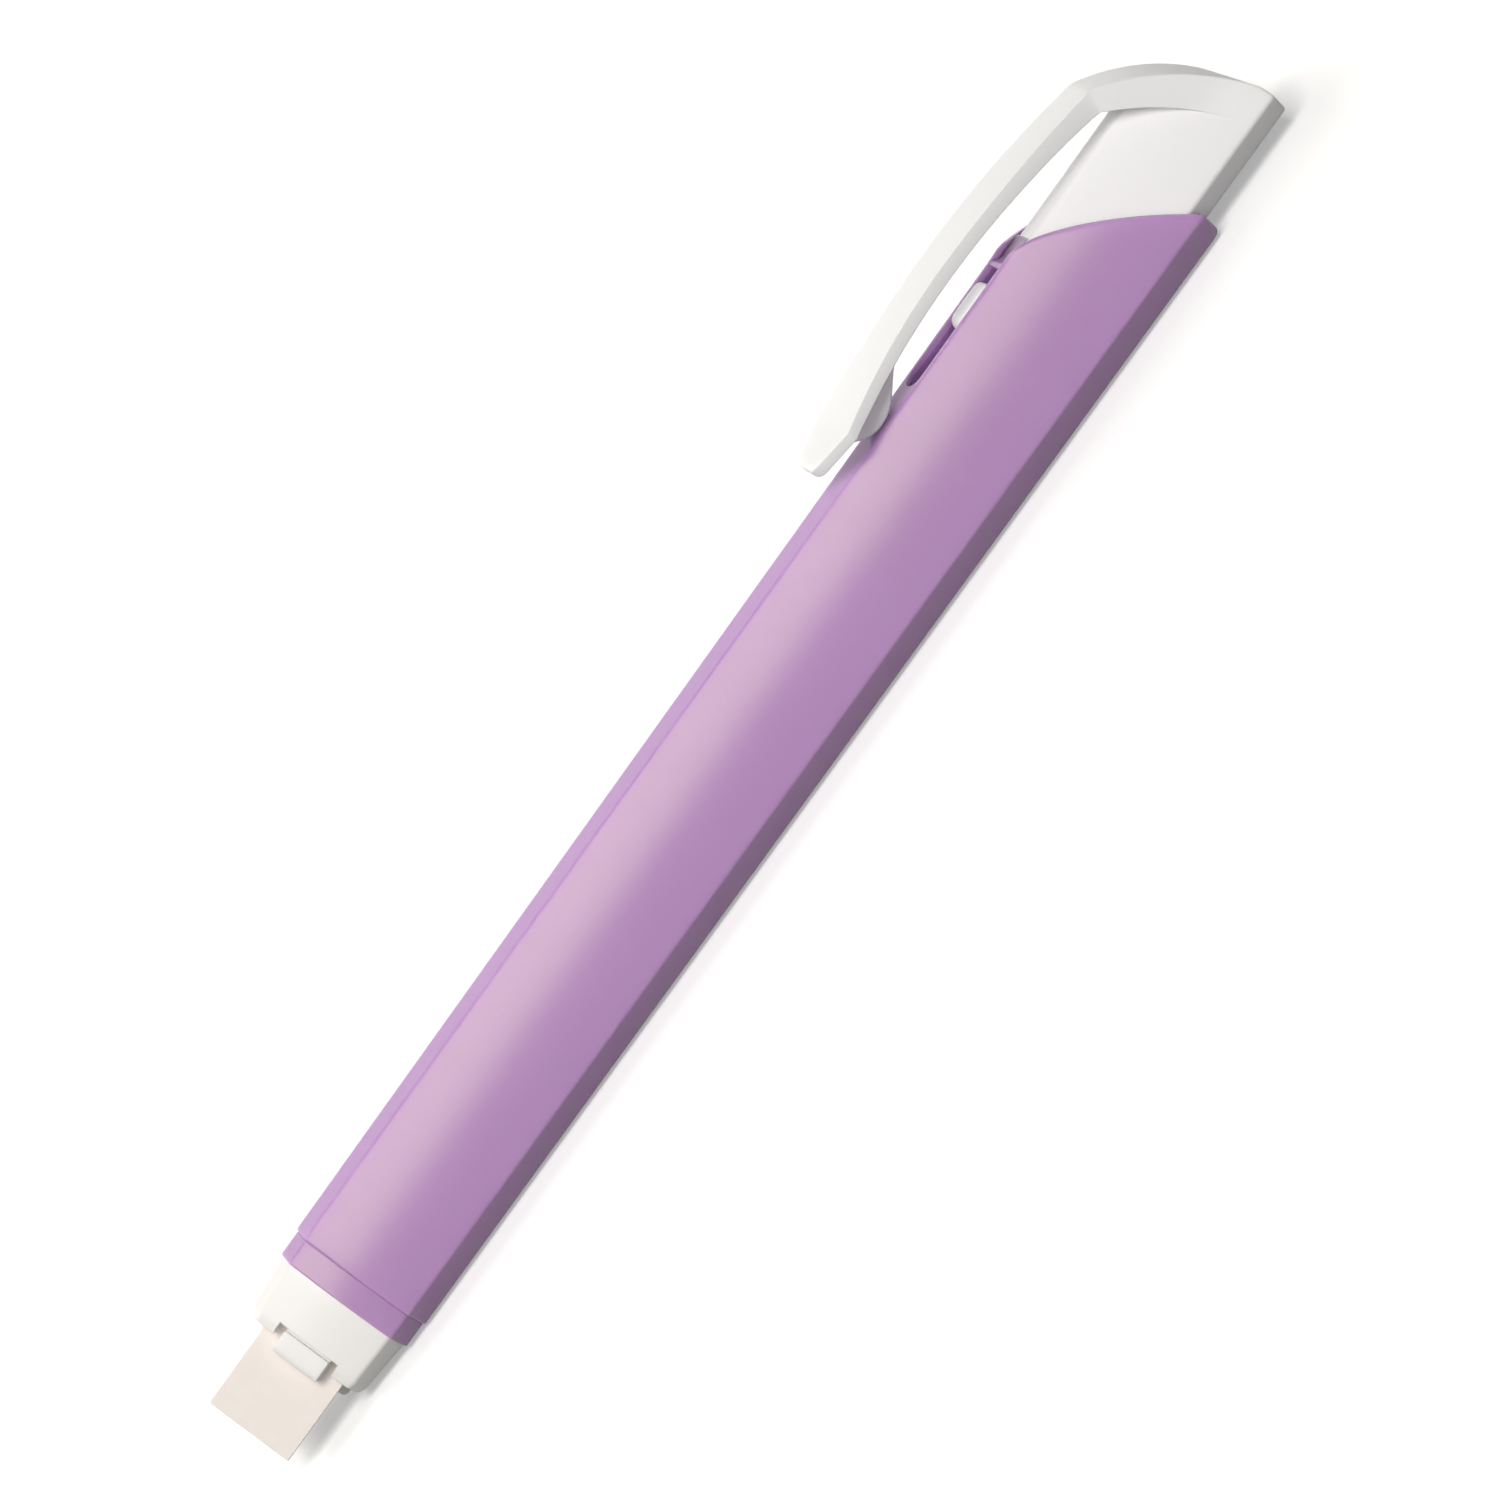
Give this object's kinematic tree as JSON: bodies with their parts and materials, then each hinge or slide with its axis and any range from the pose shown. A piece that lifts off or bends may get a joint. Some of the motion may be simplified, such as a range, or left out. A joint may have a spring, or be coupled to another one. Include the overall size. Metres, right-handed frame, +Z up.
{
  "type": "push-button eraser holder",
  "caption": "Three-sided push-button eraser holder: a lilac barrel, a triangular white eraser stick gripped by jaws in a white nose, and a white push cap with a pocket clip.",
  "frame": {"origin": "middle of the bounding box in plan, on the surface that the holder lies on", "axes": "+X along the holder from the eraser to the push cap, +Y across it, +Z up, from the lower wide side to the clip"},
  "size_m": [0.138, 0.0142, 0.0174],
  "materials": {
    "barrel_plastic": "satin, lilac",
    "nose_plastic": "satin, white",
    "tube_plastic": "plain moulded, white",
    "rod_plastic": "plain moulded, white",
    "spring_steel": "bright drawn wire",
    "cap_plastic": "satin, white",
    "eraser_vinyl": "matte, warm white",
    "jaw_front_plastic": "satin, white",
    "jaw_back_plastic": "satin, white",
    "jaw_under_plastic": "satin, white"
  },
  "bodies": {
    "holder": {"barrel": "barrel_plastic", "nose_tip": "nose_plastic", "return_spring": "spring_steel"},
    "plunger": {"push_cap": "cap_plastic", "push_rod": "rod_plastic", "eraser_tube": "tube_plastic"},
    "jaw_front": {"jaw_front": "jaw_front_plastic"},
    "jaw_back": {"jaw_back": "jaw_back_plastic"},
    "jaw_under": {"jaw_under": "jaw_under_plastic"},
    "eraser": {"eraser_stick": "eraser_vinyl"}
  },
  "joints": [
    {"name": "cap_press", "type": "slide", "parent": "holder", "child": "plunger", "axis": [-1, 0, -0.0035], "range_m": [0, 0.005], "stiffness_N_per_m": 400, "springref_m": -0.008, "deforming": ["return_spring"]},
    {"name": "jaw_front_open", "type": "hinge", "parent": "plunger", "child": "jaw_front", "pos_m": [-0.03993, -0.00258, 0.0066], "axis": [-0.003, 0.5, 0.866], "range_deg": [0, 1]},
    {"name": "jaw_back_open", "type": "hinge", "parent": "plunger", "child": "jaw_back", "pos_m": [-0.03993, 0.00258, 0.0066], "axis": [0.003, 0.5, -0.866], "range_deg": [0, 1]},
    {"name": "jaw_under_open", "type": "hinge", "parent": "plunger", "child": "jaw_under", "pos_m": [-0.03991, 0, 0.00213], "axis": [0, -1, 0], "range_deg": [0, 1]},
    {"name": "eraser_feed", "type": "slide", "parent": "plunger", "child": "eraser", "axis": [-1, 0, -0.0035], "range_m": [-0.0075, 0.045]}
  ],
  "couplings": [
    {"joint": "jaw_front_open", "follows": "cap_press", "rad_per_m": 3.3},
    {"joint": "jaw_back_open", "follows": "cap_press", "rad_per_m": 3.3},
    {"joint": "jaw_under_open", "follows": "cap_press", "rad_per_m": 3.3}
  ]
}
